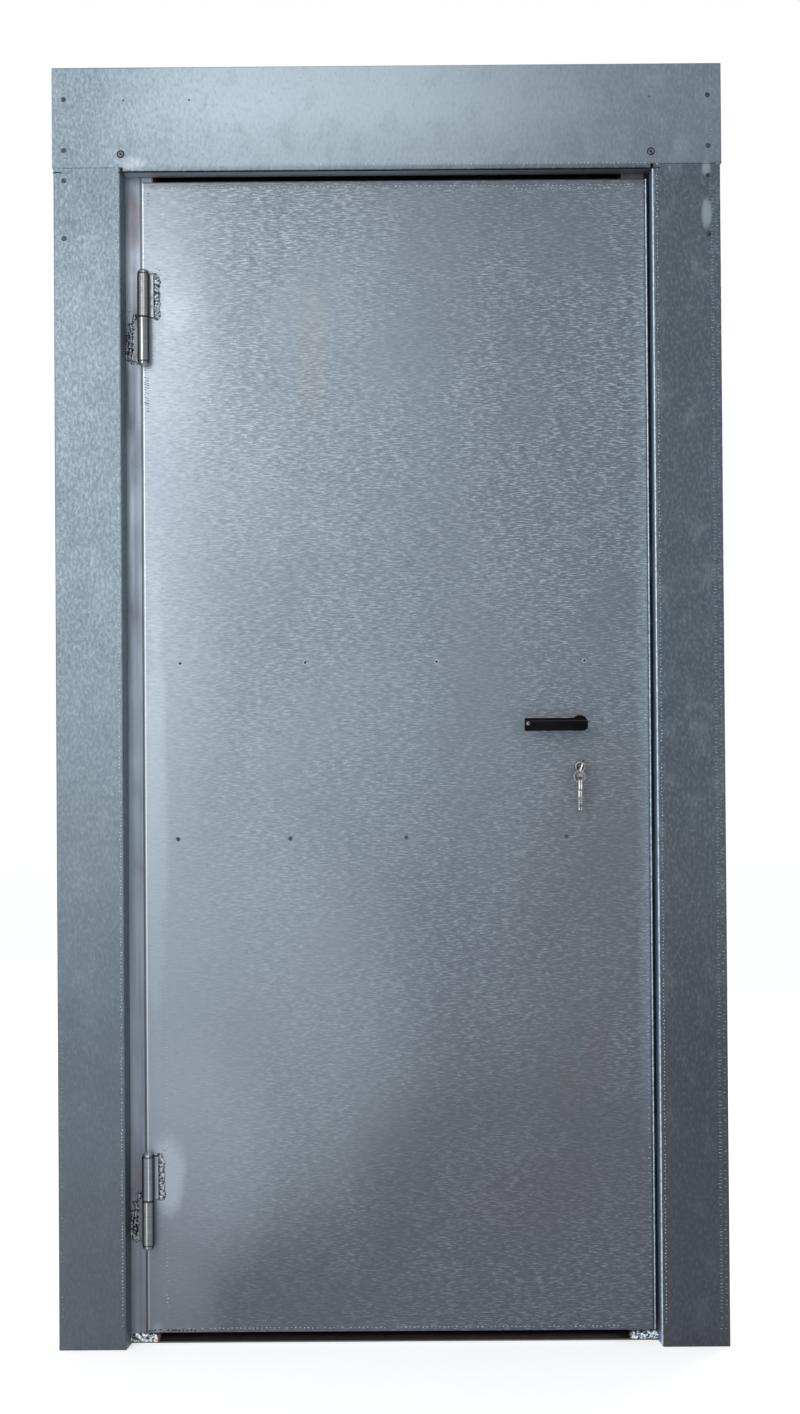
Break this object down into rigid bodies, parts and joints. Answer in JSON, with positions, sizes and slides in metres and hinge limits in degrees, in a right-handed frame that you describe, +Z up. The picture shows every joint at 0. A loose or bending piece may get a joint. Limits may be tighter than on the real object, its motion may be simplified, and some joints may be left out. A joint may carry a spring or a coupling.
{
  "type": "steel security door",
  "caption": "Single-leaf galvanised steel door in a welded frame with folded casings, barrel hinges, lever lock and keyed cylinder.",
  "frame": {"origin": "centre of the threshold's underside, half way through the depth of the stiles", "axes": "+X to the lock side as seen from the outside, +Y through the doorway to the inside, +Z up"},
  "size_m": [1.104, 0.154, 2.11],
  "materials": {
    "casing_zinc": "galvanised",
    "leaf_zinc": "galvanised",
    "gusset_zinc": "galvanised",
    "stile_steel": "bare steel",
    "angle_steel": "bare steel",
    "plated_steel": "plated",
    "washer_steel": "darkened",
    "hinge_steel": "turned steel",
    "tube_steel": "rolled tube",
    "pocket_zinc": "galvanised",
    "lock_steel": "satin",
    "lever_black": "satin black",
    "cylinder_plate": "satin plated",
    "key_steel": "plated"
  },
  "bodies": {
    "frame": {"left_jamb_casing": "casing_zinc", "right_jamb_casing": "casing_zinc", "head_casing": "casing_zinc", "left_corner_gusset": "gusset_zinc", "right_corner_gusset": "gusset_zinc", "hinge_stile": "stile_steel", "lock_stile": "stile_steel", "head_rail": "angle_steel", "threshold": "angle_steel", "strike_plate": "plated_steel", "upper_hinge_socket": "hinge_steel", "upper_hinge_pin": "hinge_steel", "upper_hinge_washer": "washer_steel", "lower_hinge_socket": "hinge_steel", "lower_hinge_pin": "hinge_steel", "lower_hinge_washer": "washer_steel"},
    "leaf": {"leaf_sheet": "leaf_zinc", "leaf_hinge_tube": "tube_steel", "leaf_lock_tube": "tube_steel", "leaf_top_tube": "tube_steel", "leaf_bottom_tube": "tube_steel", "leaf_upper_rail": "tube_steel", "leaf_lower_rail": "tube_steel", "leaf_stiffener": "tube_steel", "lock_pocket": "pocket_zinc", "lock_case": "lock_steel", "lock_faceplate": "plated_steel", "latch_bolt": "lock_steel", "dead_bolt": "lock_steel", "cylinder_body": "cylinder_plate", "outside_rose": "lever_black", "inside_rose": "lever_black", "upper_hinge_knuckle": "hinge_steel", "lower_hinge_knuckle": "hinge_steel"},
    "lever": {"outside_lever": "lever_black", "inside_lever": "lever_black", "spindle": "lock_steel"},
    "key": {"key_plug": "cylinder_plate", "key": "key_steel"},
    "key_bunch": {"key_ring": "key_steel", "spare_key_left": "key_steel", "spare_key_right": "key_steel"}
  },
  "joints": [
    {"name": "leaf_swing", "type": "hinge", "parent": "frame", "child": "leaf", "pos_m": [-0.4045, -0.049, 1], "axis": [0, 0, -1], "range_deg": [0, 150]},
    {"name": "lever_press", "type": "hinge", "parent": "leaf", "child": "lever", "pos_m": [0.313, -0.037, 1.0225], "axis": [0, -1, 0], "range_deg": [0, 45], "stiffness_Nm_per_rad": 1.5, "springref_deg": -20.05},
    {"name": "key_turn", "type": "hinge", "parent": "leaf", "child": "key", "pos_m": [0.313, -0.046, 0.9505], "axis": [0, 1, 0], "range_deg": [-90, 90]},
    {"name": "bunch_swing", "type": "hinge", "parent": "key", "child": "key_bunch", "pos_m": [0.31054, -0.0604, 0.93453], "axis": [0, 1, 0], "range_deg": [-90, 90]}
  ]
}
